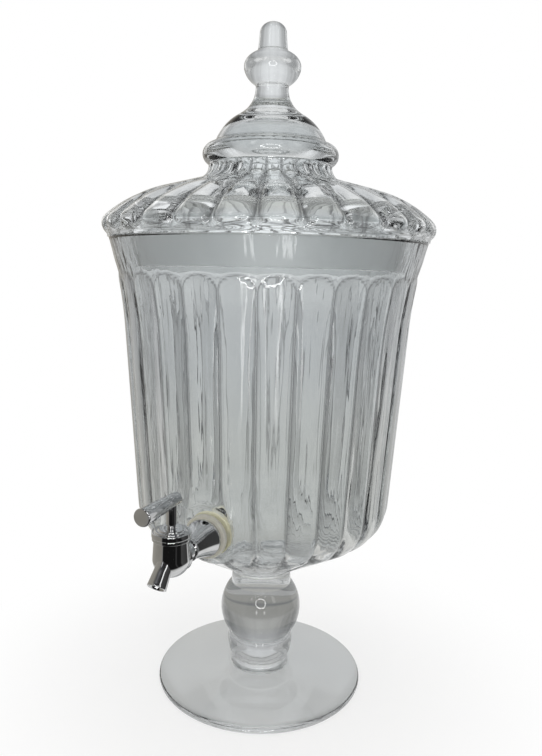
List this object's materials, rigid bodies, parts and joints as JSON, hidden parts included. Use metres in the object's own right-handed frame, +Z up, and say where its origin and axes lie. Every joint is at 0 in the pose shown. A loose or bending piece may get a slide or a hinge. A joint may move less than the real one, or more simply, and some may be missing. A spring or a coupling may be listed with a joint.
{
  "type": "glass beverage dispenser",
  "caption": "Footed glass drink dispenser with a lobed tank, a ball stem, a lobed lift-off lid with a knop and a chrome quarter-turn tap.",
  "frame": {"origin": "centre of the foot's flat underside", "axes": "+Z up along the tank's axis, -Y out along the tap, +X to the tap's right as seen from in front of it"},
  "size_m": [0.2716, 0.3292, 0.5594],
  "materials": {
    "clear_glass": "clear, fire polished",
    "chrome": "polished",
    "silicone": "soft translucent",
    "seal_rubber": "matt",
    "nut_plastic": "satin"
  },
  "bodies": {
    "urn": {"foot": "clear_glass", "stem_ring": "clear_glass", "stem_ball": "clear_glass", "tank": "clear_glass", "tap_body": "chrome", "spout_tube": "chrome", "collar": "chrome", "outer_washer": "silicone", "inner_washer": "silicone", "lock_nut": "nut_plastic", "bonnet": "chrome", "bonnet_gasket": "seal_rubber", "stem_o_ring": "seal_rubber"},
    "lid": {"lid_shell": "clear_glass", "lid_crown": "clear_glass", "finial": "clear_glass"},
    "handle": {"valve_plug": "chrome", "plug_o_rings": "seal_rubber", "stop_pin": "chrome", "handle_post": "chrome", "handle_bar": "chrome", "handle_set_screw": "chrome"}
  },
  "joints": [
    {"name": "lid_lift", "type": "slide", "parent": "urn", "child": "lid", "axis": [0, 0, 1], "range_m": [0, 0.12]},
    {"name": "handle_turn", "type": "hinge", "parent": "urn", "child": "handle", "pos_m": [0, -0.15745, 0.1708], "axis": [0, 0, 1], "range_deg": [0, 90]}
  ]
}
